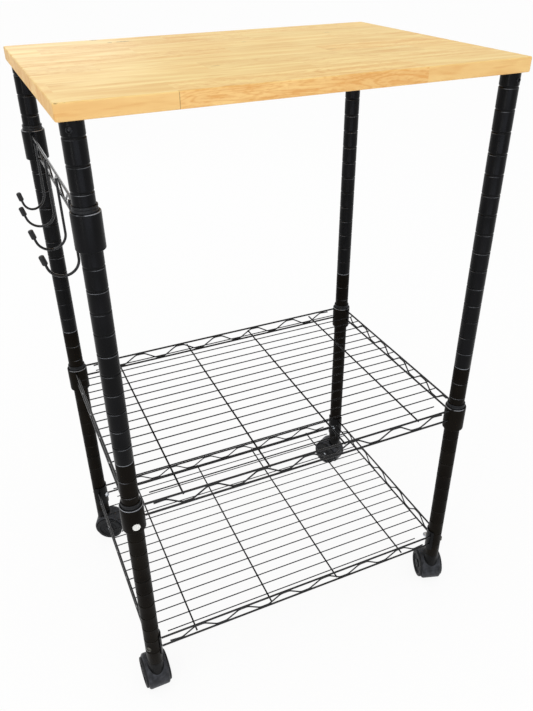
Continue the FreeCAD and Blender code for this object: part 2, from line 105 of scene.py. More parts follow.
def colour_setting(label, note, code):
    """A colour that shows in the sidebar."""
    return FloatVectorProperty(name=label, description=note, default=linear(code), size=4, subtype="COLOR",
                               min=0.0, max=1.0)


class CartWood(PropertyGroup):
    """Sizes and colours of the worktop."""
    corner_radius: length_setting("Corner radius", "Rounding of the board's corners in plan", 3 * MM)
    edge_radius: length_setting("Edge radius", "Rounding of the board's top and foot edges", 1.6 * MM)
    stave_width: length_setting("Stave width", "Width of one glued stave", 46.6 * MM)
    stave_length: length_setting("Stave length", "Length between two butt joints", 274 * MM)
    first_joint: number_setting("First joint", "Place of a butt joint in the front stave", -140.2 * MM,
                                precision=5, unit="LENGTH")
    light: colour_setting("Light wood", "Early wood between the streaks", "#FBDD93")
    dark: colour_setting("Dark wood", "Late wood in the streaks", "#E7B468")
    # Multiplies the sawn edges: partly their own oilier tone, partly painted shade keeping them darker than
    # the lit top
    edge: colour_setting("Edge tint", "Tint of the sawn edges, which drink more oil", "#F8ECEB")
    knot: colour_setting("Knots", "Knots and pitch marks", "#6B4522")


class CartMetal(PropertyGroup):
    """Sizes and colours of posts, collars and wires."""
    post_wall: length_setting("Post wall", "Wall of the post tube", 1.4 * MM)
    groove_pitch: length_setting("Groove pitch", "Height from groove to groove", 25.4 * MM)
    groove_drop: length_setting("First groove", "Depth of the first groove under the post's top", 15.3 * MM)
    groove_half: length_setting("Half groove", "Half the width of a rolled groove", 1.5 * MM)
    groove_depth: length_setting("Groove depth", "Depth of a rolled groove", 0.7 * MM)
    collar_top_wall: length_setting("Collar top wall", "Wall of a collar at its top", 2.2 * MM)
    collar_foot_wall: length_setting("Collar foot wall", "Wall of a collar at its foot", 1.2 * MM)
    cross_inner: length_setting("Inner cross wires", "Reach from the shelf's middle", 57.5 * MM)
    cross_outer: length_setting("Outer cross wires", "Reach from the shelf's middle", 180 * MM)
    paint: colour_setting("Powder coat", "Black coat of upper posts and wires", "#060607")
    paint_worn: colour_setting("Powder coat, thin", "Coat where it lies thinner", "#0B0B0D")
    # Painted highlight: the grey of the glint lines on groove lips and collar rims
    lip_highlight_colour: colour_setting("Rubbed lips", "Coat rubbed bright at grooves and collars", "#85878B")
    # A browner, duller copy of the coat, painted as shade on the posts' lower lengths and middle collars
    shaded_paint: colour_setting("Lower coat", "Coat of the posts' lower lengths", "#100D0A")
    shaded_paint_thin: colour_setting("Lower coat, thin", "Lower coat where it lies thinner", "#15120E")
    steel: colour_setting("Plated steel", "Zinc plate on pins, nuts and plug screws", "#B4B8BD")


class CartPlastic(PropertyGroup):
    """Colours of sleeves, tips, casters and the round plate."""
    nylon: colour_setting("Nylon", "Sleeves and plugs", "#17181B")
    vinyl: colour_setting("Vinyl", "Caps on the hooks", "#0C0C0D")
    hood: colour_setting("Caster hood", "Moulded hood of a caster", "#3B3C40")
    barrel: colour_setting("Caster barrel", "Swivel barrel of a caster, as black as the posts", "#060607")
    tread: colour_setting("Wheel", "Wheels of the casters", "#17181A")
    badge: colour_setting("Round plate", "Bare round plate on a collar", "#E8E7E2")


class CartStage(PropertyGroup):
    """Camera, floor and light."""
    camera_place: FloatVectorProperty(name="Camera", description="Place of the camera",
                                      subtype="TRANSLATION", unit="LENGTH", precision=5,
                                      default=(-0.335446, -0.831914, 0.985052))
    azimuth: number_setting("Azimuth", "Turn of the view to the right of the Y axis",
                            math.radians(23.71509), subtype="ANGLE")
    pitch: number_setting("Pitch", "Tilt of the view downwards", math.radians(31.98069), subtype="ANGLE")
    roll: number_setting("Roll", "Turn of the picture about the view", math.radians(0.71202),
                         subtype="ANGLE")
    focal: number_setting("Focal pixels", "Focal length in pixels of the picture", 690.0914, min=1.0)
    ambient: number_setting("Ambient", "Strength of the light all round", 0.55)
    overhead: number_setting("Overhead", "Strength of the light from above", 1.2)
    panels: number_setting("Panels", "Brightness of the soft panels", 5.0)
    floor: colour_setting("Floor", "Pale floor", "#F4F4F3")


SETTINGS = {"cart_wood": CartWood, "cart_metal": CartMetal, "cart_plastic": CartPlastic,
            "cart_stage": CartStage}


# Meshes

def grid_faces(rows, columns, wrap_rows, wrap_columns):
    """Four-sided faces of a grid of points, kept row by row; a wrapped direction closes on itself."""
    row = np.arange(rows if wrap_rows else rows - 1)[:, None]
    column = np.arange(columns if wrap_columns else columns - 1)[None, :]
    next_row = (row + 1) % rows
    next_column = (column + 1) % columns
    corners = (row * columns + column, row * columns + next_column,
               next_row * columns + next_column, next_row * columns + column)
    return np.stack(corners, axis=-1).reshape(-1, 4)


def eased(outline, reaches, steps=EASE_STEPS):
    """Closed outline with corners P eased by (1-t)^2 A + 2t(1-t) P + t^2 B, from A to B beside each."""
    corner = np.asarray(outline, float)
    before = np.roll(corner, 1, axis=0) - corner
    after = np.roll(corner, -1, axis=0) - corner
    reach = np.asarray(reaches, float)[:, None]
    start = corner + before / np.linalg.norm(before, axis=1, keepdims=True) * reach
    end = corner + after / np.linalg.norm(after, axis=1, keepdims=True) * reach
    t = np.linspace(0, 1, steps)[None, :, None]
    curve = (1 - t) ** 2 * start[:, None] + 2 * t * (1 - t) * corner[:, None] + t ** 2 * end[:, None]
    return curve.reshape(-1, 2)


def lathe(outline, segments, start=0.0, turn=2 * math.pi):
    """Closed outline (r, h) turned about Z: (r cos a, r sin a, h); a part turn gets flat ends."""
    full = turn > 2 * math.pi - 1e-6
    angle = start + np.linspace(0, turn, segments, endpoint=not full)
    r, h = np.asarray(outline, float).T
    points = np.stack([r[:, None] * np.cos(angle), r[:, None] * np.sin(angle),
                       np.repeat(h[:, None], segments, axis=1)], axis=-1).reshape(-1, 3)
    faces = grid_faces(len(r), segments, True, full).tolist()
    if not full:
        rim = np.arange(len(r)) * segments
        faces += [rim[::-1].tolist(), (rim + segments - 1).tolist()]
    return points, faces


def place(points, origin, axis):
    """Points whose Z axis is laid along the given axis from the given origin."""
    along = np.asarray(axis, float) / np.linalg.norm(axis)
    helper = np.array([0.0, 0.0, 1.0]) if abs(along[2]) < 0.9 else np.array([1.0, 0.0, 0.0])
    side = np.cross(helper, along)
    side /= np.linalg.norm(side)
    return np.asarray(origin) + points @ np.stack([side, np.cross(along, side), along])


def beads(centres, radii, rows=6, columns=10):
    """An ellipsoid at each centre, (a sin u cos v, b sin u sin v, c cos u), all as one shape."""
    u = np.linspace(0, math.pi, rows)[:, None]
    v = np.linspace(0, 2 * math.pi, columns, endpoint=False)[None, :]
    unit = np.stack([np.sin(u) * np.cos(v), np.sin(u) * np.sin(v), np.cos(u) + 0 * v], axis=-1)
    unit = unit.reshape(-1, 3)
    points = np.asarray(centres)[:, None] + unit[None] * np.asarray(radii)
    first = np.arange(len(centres)) * len(unit)
    faces = grid_faces(rows, columns, False, True)[None] + first[:, None, None]
    return points.reshape(-1, 3), faces.reshape(-1, 4).tolist()


def level_grid(across, back, height):
    """Points (x, y, height) of a flat grid, row by row."""
    x, y = np.meshgrid(across, back)
    return np.stack([x.ravel(), y.ravel(), np.full(x.size, height)], axis=-1)


def add_object(name, data):
    """A new object of the scene, at the origin."""
    made = bpy.data.objects.new(name, data)
    bpy.context.scene.collection.objects.link(made)
    return made


def add_piece(name, shape, material, body="cart", nodes=(), sharp=math.radians(40), lip_highlight=None):
    """Makes a closed piece of points and faces and hands it to the frame; the last argument gives each
    point's share of painted highlight.
    """
    points, faces = shape
    mesh = bpy.data.meshes.new(name)
    mesh.from_pydata(np.asarray(points).tolist(), [], faces)
    if lip_highlight is not None:
        mesh.attributes.new("lip_highlight", "FLOAT", "POINT").data.foreach_set("value", np.asarray(lip_highlight, np.float32))
    work = bmesh.new()
    work.from_mesh(mesh)
    bmesh.ops.remove_doubles(work, verts=work.verts, dist=MERGE)
    bmesh.ops.recalc_face_normals(work, faces=work.faces)
    work.to_mesh(mesh)
    work.free()
    mesh.shade_smooth()
    mesh.set_sharp_from_angle(angle=sharp)
    piece = add_object(name, mesh)
    mesh.materials.append(material)
    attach(piece, body)
    if nodes:
        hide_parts(*nodes)


def dress(material, *nodes):
    """Gives frame nodes that stay in view a finished material."""
    for node in nodes:
        for held in frame["nodes"][node].material_slots:
            held.material = material


def corners_of(node):
    """Lowest and highest corner of a frame node as arrays."""
    low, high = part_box(node)
    return np.array(low), np.array(high)


def post_axis(corner):
    """X and Y of a post's axis."""
    low, high = corners_of(f"upper_post_{corner}")
    return (low[:2] + high[:2]) / 2


def radius_of(node):
    """Radius of a round frame node, half its width along X."""
    low, high = corners_of(node)
    return (high[0] - low[0]) / 2


def node_points(node):
    """All points of a frame node as an array."""
    mesh = frame["nodes"][node].data
    flat = np.empty(len(mesh.vertices) * 3, np.float32)
    mesh.vertices.foreach_get("co", flat)
    return flat.reshape(-1, 3).astype(float)


def points_near(node, corner):
    """Points of a frame node that lie round one post."""
    points = node_points(node)
    return points[np.linalg.norm(points[:, :2] - post_axis(corner), axis=1) < NEAR_POST]


# Materials

def set_sockets(tree, node, sockets):
    """Sets or links each input of a node that sockets names; a node there stands for its first output."""
    for key, value in sockets.items():
        if isinstance(value, bpy.types.Node):
            value = value.outputs[0]
        if isinstance(value, bpy.types.NodeSocket):
            tree.links.new(value, node.inputs[key])
        else:
            node.inputs[key].default_value = value


def add_node(tree, kind, sockets, **settings):
    """Adds a node with its settings and its sockets' values and links."""
    made = tree.nodes.new("ShaderNode" + kind)
    for key, value in settings.items():
        setattr(made, key, value)
    set_sockets(tree, made, sockets)
    return made


def start_material(name, colour):
    """A new material, its node tree, its shader and its object coordinates."""
    material = bpy.data.materials.new(name)
    material.use_nodes = True
    material.diffuse_color = colour
    tree = material.node_tree
    coordinates = add_node(tree, "TexCoord", {}).outputs["Object"]
    return material, tree, tree.nodes["Principled BSDF"], coordinates


def per_mm(size):
    """Texture scale whose features are about that many millimetres long."""
    return 1000.0 / size


def mottled(name, light, dark, patch, grain, rise, smooth, rough, specular, metallic=0.0):
    """A moulded or coated surface: patches of two near tones and of gloss, and a fine bumpy skin.

    patch and grain are the sizes of patches and skin bumps, and rise is the bumps' height, all in mm;
    smooth and rough are the two ends of the roughness.
    """
    material, tree, shader, at = start_material(name, light)
    patches = add_node(tree, "TexNoise", {"Vector": at, "Scale": per_mm(patch), "Detail": 3.0})
    skin = add_node(tree, "TexNoise", {"Vector": at, "Scale": per_mm(grain), "Detail": 2.0})
    share = add_node(tree, "MapRange",
                     {"Value": patches.outputs["Fac"], "From Min": 0.35, "From Max": 0.65})
    tone = add_node(tree, "Mix", {SHARE: share, FIRST: dark, SECOND: light}, data_type="RGBA")
    gloss = add_node(tree, "MapRange",
                     {"Value": patches.outputs["Fac"], "From Min": 0.3, "From Max": 0.7, "To Min": smooth,
                      "To Max": rough})
    bump = add_node(tree, "Bump", {"Height": skin.outputs["Fac"], "Distance": rise * MM, "Strength": 1.0})
    set_sockets(tree, shader, {"Base Color": tone.outputs[MIXED], "Roughness": gloss, "Normal": bump,
                               "Specular IOR Level": specular, "Metallic": metallic})
    return material


def base_coat(material):
    """Tree of a finished material, its base colour's socket, what is linked there, and coordinates."""
    tree = material.node_tree
    paint = tree.nodes["Principled BSDF"].inputs["Base Color"]
    at = add_node(tree, "TexCoord", {}).outputs["Object"]
    return tree, paint, paint.links[0].from_socket, at


def coat_with_painted_lips(name, thin, full, glint_colour, specular):
    """Powder coat on steel, satin with a faint orange peel, with a painted highlight in broken lines along
    the lips.
    """
    material = mottled(name, thin, full,
                       patch=45, grain=1.1, rise=0.02, smooth=0.24, rough=0.36, specular=specular)
    tree, paint, coat, at = base_coat(material)
    # Each point's share of painted highlight, broken up by noise
    lip_highlight = add_node(tree, "Attribute", {}, attribute_name="lip_highlight").outputs["Fac"]
    breaks = add_node(tree, "TexNoise", {"Vector": at, "Scale": per_mm(14), "Detail": 1.0})
    left = add_node(tree, "MapRange",
                    {"Value": breaks.outputs["Fac"], "From Min": 0.42, "From Max": 0.64, "To Min": 0.05,
                     "To Max": 1.0})
    share = add_node(tree, "Math", {0: lip_highlight, 1: left}, operation="MULTIPLY", use_clamp=True)
    tone = add_node(tree, "Mix", {SHARE: share, FIRST: coat, SECOND: glint_colour}, data_type="RGBA")
    tree.links.new(tone.outputs[MIXED], paint)
    return material


@cache
def powder_coat():
    """Black satin powder coat of upper posts, rail collars and deck wires: cool, with painted highlights on
    the lips.
    """
    metal = bpy.context.scene.cart_metal
    return coat_with_painted_lips("satin_powder_coat", metal.paint_worn, metal.paint, metal.lip_highlight_colour, 0.09)


@cache
def shaded_lower_coat():
    """Shaded copy of the black coat for the posts' lower lengths and the middle collars: browner and duller
    than above, as painted shade.
    """
    metal = bpy.context.scene.cart_metal
    return coat_with_painted_lips("brown_black_powder_coat", metal.shaded_paint_thin, metal.shaded_paint, metal.lip_highlight_colour, 0.025)


@cache
def wire_coat():
    """Black powder coat of trusses and hooks, where it flows out smoother: glossier, with a sheen."""
    metal = bpy.context.scene.cart_metal
    return mottled("gloss_powder_coat", metal.paint_worn, metal.paint,
                   patch=45, grain=1.1, rise=0.008, smooth=0.16, rough=0.26, specular=0.3)


@cache
def nylon():
    """Moulded black nylon: a little greyer and duller than the paint, with a fine spark-eroded skin."""
    plastic = bpy.context.scene.cart_plastic
    return mottled("moulded_nylon", plastic.nylon, linear("#111214"),
                   patch=20, grain=0.7, rise=0.015, smooth=0.36, rough=0.48, specular=0.2)


@cache
def zinc_plate():
    """Zinc plated steel: bright grey metal with a soft crystalline mottle."""
    metal = bpy.context.scene.cart_metal
    return mottled("zinc_plate", metal.steel, linear("#8E9398"),
                   patch=3, grain=0.6, rise=0.01, smooth=0.24, rough=0.38, specular=0.5, metallic=1.0)


@cache
def socket_nylon():
    """Moulded nylon of the sockets in the posts' feet: as black as the posts, and dull."""
    return mottled("socket_nylon", linear("#0C0C0E"), linear("#080809"),
                   patch=20, grain=0.7, rise=0.015, smooth=0.36, rough=0.48, specular=0.1)


@cache
def bright_screw():
    """Oiled steel screw: dark olive metal, polished enough to glint."""
    return mottled("oiled_steel", linear("#5E5C57"), linear("#35342F"),
                   patch=2, grain=0.5, rise=0.01, smooth=0.14, rough=0.24, specular=0.5, metallic=1.0)


@cache
def black_screw():
    """Blackened steel screw: dark oily metal with worn high spots."""
    return mottled("blackened_steel", linear("#2C2C2E"), linear("#19191A"),
                   patch=2, grain=0.5, rise=0.01, smooth=0.24, rough=0.36, specular=0.5, metallic=1.0)


# Pieces

class CART_OT_worktop(Operator):
    """Lays the edge-glued wooden board on the posts"""
    bl_idname = "cart.worktop"
    bl_label = "Build worktop"

    # Knots and pitch marks on the top: X, Y, half length along the grain and half width, in mm
    marks = ((-250.8, -196.7, 3.0, 1.3), (-243, -196.8, 2.2, 0.8), (-139, 171, 7.0, 4.0),
             (-107, 141, 12.0, 4.2), (-125, 139, 4.0, 3.0), (-64, -88, 6.0, 1.2),
             (100, -43, 8.0, 1.2), (168, 92, 7.0, 1.6), (31, 63, 5.0, 1.2))

    # Raggedness of their rims
    raggedness = 1.6

    # Start of the first stave before the front edge, and shift from stave to stave, in staves and boards
    front_lap = 0.02
    stagger_step = 0.381966

    # Stride between the numbers of two staves, spread of the boards' seeds, and turns of the rings' wave
    stave_stride = 7.31
    seed_spread = 40.0
    ring_turns = 75.0

    # Glue line: where it fades after the joint, its depth on the top, and what the sawn edges add
    glue_fade = (0.7 * MM, 1.1 * MM)
    glue_top = 0.06
    glue_edge = 0.42

    def execute(self, context):
        wood = context.scene.cart_wood
        low, high = corners_of("worktop")
        add_piece("worktop_board", self.board(low, high, wood), self.finish(low, high, wood),
                  nodes=["worktop"], sharp=math.radians(60))
        return {"FINISHED"}

    def board(self, low, high, wood):
        """A box with round plan corners, whose edges lean in by e (1 - sin a) over e (1 - cos a)."""
        quarter = np.linspace(0, math.pi / 2, 9)
        inset = wood.edge_radius * (1 - np.sin(quarter))
        rise = wood.edge_radius * (1 - np.cos(quarter))
        insets = np.concatenate([inset, inset[::-1]])
        heights = np.concatenate([low[2] + rise, high[2] - rise[::-1]])
        middle = (low[:2] + high[:2]) / 2
        half = (high[:2] - low[:2]) / 2
        radius = wood.corner_radius
        around = 48
        turn = np.linspace(0, 2 * math.pi, around, endpoint=False) + math.pi / around
        way = np.stack([np.cos(turn), np.sin(turn)], axis=-1)
        outline = middle + np.sign(way) * (half - radius) + way * radius
        inward = way * insets[:, None, None]
        levels = np.repeat(heights[:, None, None], around, axis=1)
        points = np.concatenate([outline[None] - inward, levels], axis=-1).reshape(-1, 3)
        faces = grid_faces(len(heights), around, False, True).tolist()
        ring = np.arange(around)
        faces += [ring[::-1].tolist(), (ring + around * (len(heights) - 1)).tolist()]
        return points, faces

    def finish(self, low, high, wood):
        """Oiled hardwood, edge glued from short boards: each has its own tone, bands, rings and flecks."""
        material, tree, shader, at = start_material("edge_glued_wood", wood.light)
        axes = add_node(tree, "SeparateXYZ", {"Vector": at})
        number, along = self.boards(tree, axes, low, wood)
        chance = add_node(tree, "TexWhiteNoise", {"W": number}, noise_dimensions="1D").outputs["Value"]
        seed = add_node(tree, "Math", {0: chance, 1: self.seed_spread}, operation="MULTIPLY")
        # Flat-sawn boards show rings and pores, quarter-sawn ones are plain
        turn = add_node(tree, "Math", {0: number, 1: math.pi}, operation="MULTIPLY")
        wave = add_node(tree, "Math", {0: turn}, operation="COSINE")
        figure = add_node(tree, "MapRange", {"Value": wave, "From Min": -0.4})
        share, bands, pores = self.streaks(tree, at, seed, figure)
        grain = add_node(tree, "Mix", {SHARE: share, FIRST: wood.light, SECOND: wood.dark},
                         data_type="RGBA")
        tone = add_node(tree, "MapRange", {"Value": chance, "To Min": 0.95, "To Max": 1.02})
        toned = add_node(tree, "HueSaturation", {"Color": grain.outputs[MIXED], "Value": tone})
        # Sawn edges take the edge tint: partly their own tone, partly painted shade against the lit top
        sawn = add_node(tree, "MapRange",
                        {"Value": axes.outputs["Z"], "From Min": high[2],
                         "From Max": high[2] - wood.edge_radius})
        tinted = add_node(tree, "Mix", {SHARE: sawn, FIRST: toned, SECOND: wood.edge}, data_type="RGBA",
                          blend_type="MULTIPLY")
        glued = self.glue_line(tree, tinted.outputs[MIXED], along, figure, sawn, wood)
        colour = self.knots(tree, at, glued, high[2], wood)
        gloss = add_node(tree, "MapRange", {"Value": bands, "To Min": 0.42, "To Max": 0.58})
        bump = add_node(tree, "Bump", {"Height": pores, "Distance": 0.05 * MM, "Strength": 0.6})
        set_sockets(tree, shader, {"Base Color": colour, "Roughness": gloss, "Normal": bump,
                                   "Specular IOR Level": 0.2})
        return material

    def boards(self, tree, axes, low, wood):
        """Number of the board at a point, and the point's place along its stave in boards.

        Staves count from the front edge, and the boards of a stave from a butt joint.
        """
        across = add_node(tree, "Math",
                          {0: axes.outputs["Y"], 1: 1 / wood.stave_width,
                           2: self.front_lap - low[1] / wood.stave_width}, operation="MULTIPLY_ADD")
        stave = add_node(tree, "Math", {0: across}, operation="FLOOR")
        ahead = add_node(tree, "Math",
                         {0: axes.outputs["X"], 1: 1 / wood.stave_length,
                          2: -wood.first_joint / wood.stave_length}, operation="MULTIPLY_ADD")
        along = add_node(tree, "Math", {0: stave, 1: self.stagger_step, 2: ahead}, operation="MULTIPLY_ADD")
        board = add_node(tree, "Math", {0: along}, operation="FLOOR")
        number = add_node(tree, "Math", {0: stave, 1: self.stave_stride, 2: board},
                          operation="MULTIPLY_ADD")
        return number, along

    def streaks(self, tree, at, seed, figure):
        """Share of dark wood, and the noises of bands and pores, which gloss and bumps follow."""

        def grain_noise(length, width, detail):
            """Noise drawn out along the grain, other on each board; length and width are in mm."""
            drawn = add_node(tree, "Mapping",
                             {"Vector": at, "Scale": (per_mm(length), per_mm(width), per_mm(width))})
            return add_node(tree, "TexNoise",
                            {"Vector": drawn, "W": seed, "Scale": 1.0, "Detail": detail, "Distortion": 0.3},
                            noise_dimensions="4D").outputs["Fac"]

        def graded(value, start, end, top):
            """Nought below start, rising to top at end."""
            return add_node(tree, "MapRange",
                            {"Value": value, "From Min": start, "From Max": end, "To Max": top})

        bands = grain_noise(95, 14, 3.0)
        flecks = grain_noise(38, 4.5, 2.0)
        pores = grain_noise(7, 1.3, 2.0)
        rounds = add_node(tree, "Math", {0: grain_noise(120, 15, 1.0), 1: self.ring_turns},
                          operation="MULTIPLY")
        rings = add_node(tree, "Math", {0: rounds}, operation="SINE")
        layers = [graded(flecks, 0.55, 0.75, 0.5)]
        for sawn in (graded(rings, 0.3, 1.0, 0.42), graded(pores, 0.5, 0.7, 0.55)):
            layers.append(add_node(tree, "Math", {0: sawn, 1: figure}, operation="MULTIPLY"))
        share = graded(bands, 0.36, 0.66, 0.62)
        for layer in layers:
            share = add_node(tree, "Math", {0: share, 1: layer}, operation="ADD", use_clamp=True)
        return share, bands, pores

    def glue_line(self, tree, colour, along, figure, sawn, wood):
        """Glue where a flat-sawn board begins: dark on the sawn edges, nearly sanded away on the top."""
        off = add_node(tree, "Math", {0: along}, operation="FRACT")
        fade_start, fade_end = (edge / wood.stave_length for edge in self.glue_fade)
        line = add_node(tree, "MapRange",
                        {"Value": off, "From Min": fade_start, "From Max": fade_end, "To Min": 1.0,
                         "To Max": 0.0})
        kept = add_node(tree, "Math", {0: sawn, 1: self.glue_edge, 2: self.glue_top},
                        operation="MULTIPLY_ADD")
        drawn = add_node(tree, "Math", {0: line, 1: figure}, operation="MULTIPLY")
        glue = add_node(tree, "Math", {0: drawn, 1: kept}, operation="MULTIPLY")
        return add_node(tree, "Mix", {SHARE: glue, FIRST: colour, SECOND: wood.knot},
                        data_type="RGBA").outputs[MIXED]

    def knots(self, tree, at, colour, top, wood):
        """Knots and pitch marks: ellipses on the top with ragged rims."""
        rag = add_node(tree, "TexNoise", {"Vector": at, "Scale": per_mm(3), "Detail": 2.0}).outputs["Fac"]
        for x, y, half_length, half_width in self.marks:
            scale = (per_mm(half_length), per_mm(half_width), per_mm(half_width))
            centred = add_node(tree, "VectorMath", {0: at, 1: (x * MM, y * MM, top)}, operation="SUBTRACT")
            squeezed = add_node(tree, "VectorMath", {0: centred, 1: scale}, operation="MULTIPLY")
            distance = add_node(tree, "VectorMath", {0: squeezed}, operation="LENGTH").outputs["Value"]
            ragged = add_node(tree, "Math", {0: rag, 1: self.raggedness, 2: distance},
                              operation="MULTIPLY_ADD")
            depth = add_node(tree, "MapRange",
                             {"Value": ragged, "From Min": 1.2, "From Max": 1.8, "To Min": 0.6,
                              "To Max": 0.0})
            colour = add_node(tree, "Mix", {SHARE: depth, FIRST: colour, SECOND: wood.knot},
                              data_type="RGBA").outputs[MIXED]
        return colour


class CART_OT_posts(Operator):
    """Turns the grooved posts and their fittings"""
    bl_idname = "cart.posts"
    bl_label = "Build posts"

    # Radii of the heads of set screws and shelf screws
    set_head = 3.3 * MM
    shelf_head = 4.0 * MM

    # More grooves than a post has, and the plain length of a tube before each end
    most_grooves = 33
    plain_end = 4 * MM

    # Rings of points from a groove's middle outwards, in half widths; the one with the painted highlight
    # lies on the lip
    rings = (0.0, 0.2, 0.4, 0.6, 0.8, 1.0, 1.15, 1.4, 1.8)
    highlight_ring = 1.15

    # Height of the lips beside a groove, and their middle and spread in half widths
    lip_height = 0.07 * MM
    lip_middle = 1.35
    lip_spread = 0.35

    # Share of the painted highlight on the lips under the middle shelf, where they lie in shade
    shaded_lip_highlight = 0.12

    def execute(self, context):
        metal = context.scene.cart_metal
        top = corners_of("upper_post_fl")[1][2]
        for corner in CORNERS:
            # The lower lengths take the browner, duller copy of the coat, painted as shade
            for length, coat in (("upper", powder_coat()), ("lower", shaded_lower_coat())):
                node = f"{length}_post_{corner}"
                shape, lip_highlight = self.tube(node, top, metal)
                add_piece(f"{node}_tube", shape, coat, nodes=[node],
                          sharp=math.radians(75), lip_highlight=lip_highlight)
        self.screws("post_set_screws", self.set_head, black_screw(), "black_steel_screw",
                    {corner: self.facing("post_set_screws", corner) for corner in CORNERS})
        outward = {"fl": (-1, -1, 0), "fr": (1, -1, 0), "bl": (-1, 1, 0), "br": (1, 1, 0)}
        self.screws("shelf_screws", self.shelf_head, bright_screw(), "black_steel_screw", outward)
        for corner, way in outward.items():
            self.cap_nut(corner, -np.asarray(way, float) / math.sqrt(2))
        dress(nylon(), "top_plugs")
        dress(socket_nylon(), "caster_sockets")
        dress(zinc_plate(), "top_plug_screws")
        # Turned coupler: bare steel dulled by handling, a thin grey line between two lengths of a post
        dress(mottled("dull_steel", linear("#84878B"), linear("#6C6F73"),
                      patch=4, grain=0.6, rise=0.01, smooth=0.4, rough=0.5, specular=0.5, metallic=1.0),
              "post_couplers")
        return {"FINISHED"}

    def tube(self, node, top, metal):
        """Tube (r cos a, r sin a, z), r = R - d (1 + cos(pi s)) / 2 within s = |z - groove| / w < 1.

        The lip under each groove carries a painted highlight line, faint under the middle shelf where it
        lies in shade.
        """
        low, high = corners_of(node)
        radius = radius_of(node)
        ease = 0.5 * MM
        around = 56
        grooves = top - metal.groove_drop - metal.groove_pitch * np.arange(self.most_grooves)
        grooves = grooves[(grooves > low[2] + self.plain_end) & (grooves < high[2] - self.plain_end)]
        steps = np.array(self.rings) * metal.groove_half
        steps = np.concatenate([-steps[:0:-1], steps])
        height = np.sort((grooves[:, None] + steps).ravel())
        nearest = np.abs(height[:, None] - grooves).argmin(axis=1)
        offset = (height - grooves[nearest]) / metal.groove_half
        away = np.abs(offset)
        dip = metal.groove_depth * (1 + np.cos(np.pi * np.clip(away, 0, 1))) / 2
        lip = self.lip_height * np.exp(-((away - self.lip_middle) / self.lip_spread) ** 2)
        wall = np.stack([radius - dip + lip, height], axis=-1)
        bend = np.linspace(0, math.pi / 2, 6)
        curve = ease * np.stack([np.cos(bend) - 1, np.sin(bend) - 1], axis=-1)
        head = np.array([radius, high[2]]) + curve
        foot = np.array([radius, low[2]]) + curve[::-1] * (1, -1)
        bore = radius - metal.post_wall
        outline = np.concatenate([foot, wall, head, [[bore, high[2]], [bore, low[2]]]])
        points, faces = lathe(outline, around)
        centre = (low + high) / 2
        lip_highlight = np.zeros(len(outline))
        # Painted highlight on the lip under each groove, faint under the middle shelf
        lip_highlight_share = np.where(height > corners_of("mid_collars")[0][2], 1.0, self.shaded_lip_highlight)
        lip_highlight[len(foot):len(foot) + len(wall)] = lip_highlight_share * np.isclose(offset, -self.highlight_ring, atol=0.05)
        return (points + (centre[0], centre[1], 0), faces), np.repeat(lip_highlight, around)

    def cap_nut(self, corner, way):
        """A six-sided nut, r / max |cos(a - k pi / 3)|, under a dome, on the end of a shelf screw."""
        screws = node_points("shelf_screws")
        axis = np.array([*post_axis(corner), (screws[:, 2].min() + screws[:, 2].max()) / 2])
        near = points_near("corner_plates", corner)
        seat = np.linalg.norm(near[:, :2] - axis[:2], axis=1).max()
        flat, tall = 3.5 * MM, 2.6 * MM
        around = 48
        a = np.linspace(0, 2 * math.pi, around, endpoint=False)[None, :]
        six = 1 / np.cos((a + math.pi / 6) % (math.pi / 3) - math.pi / 6)
        rise = np.array([-0.6, -0.6, 0.86, 1.0])[:, None] * tall
        nut_r = np.array([0.0, 1.0, 1.0, 0.93])[:, None] * flat * six
        bend = np.linspace(0, math.pi / 2, 8)[:, None]
        dome_r = 0.9 * flat * np.cos(bend) + 0 * a
        dome_h = tall + 0.8 * flat * np.sin(bend)
        r = np.concatenate([nut_r, dome_r])
        h = np.concatenate([rise, dome_h]) + 0 * a
        grid = np.stack([r * np.cos(a), r * np.sin(a), h], axis=-1).reshape(-1, 3)
        faces = grid_faces(len(r), around, False, True).tolist()
        nut = place(grid, axis + way * seat, way)
        add_piece(f"shelf_nut_{corner}", (nut, faces), zinc_plate())

    def facing(self, node, corner):
        """The way from a post's axis to the outermost points of its screw."""
        points = points_near(node, corner)[:, :2] - post_axis(corner)
        far = np.linalg.norm(points, axis=1)
        outermost = far > 0.98 * far.max()
        return (*points[outermost].mean(axis=0), 0.0)

    def screws(self, node, radius, material, slot, headings):
        """Button heads: -h (r/R)^4, less a round socket of depth d with a smooth rim."""
        crown, depth, sink = 0.9 * MM, 1.2 * MM, 3.2 * MM
        socket_radius, socket_rim = 0.42 * radius, 0.09 * radius
        rows, around = 25, 64
        r = radius * np.linspace(0, 1, rows)[:, None]
        a = np.linspace(0, 2 * math.pi, around, endpoint=False)[None, :]
        x, y = r * np.cos(a), r * np.sin(a)
        socket = 1 - np.clip((r - socket_radius) / socket_rim, 0, 1)
        face = np.stack([x, y, -crown * (r / radius) ** 4 - depth * socket + 0 * a], axis=-1)
        skirt = np.stack([x[-1:], y[-1:], 0 * x[-1:] - sink], axis=-1)
        grid = np.concatenate([face, skirt]).reshape(-1, 3)
        faces = grid_faces(rows + 1, around, False, True).tolist()
        faces.append((np.arange(around) + around * rows).tolist())
        points = node_points(node)
        level = (points[:, 2].min() + points[:, 2].max()) / 2
        for corner, heading in headings.items():
            way = np.asarray(heading, float) / np.linalg.norm(heading)
            axis = np.array([*post_axis(corner), level])
            reach = ((points_near(node, corner) - axis) @ way).max()
            add_piece(f"{node}_{corner}", (place(grid, axis + way * reach, way), faces), material,
                      nodes=[node], sharp=math.radians(50))


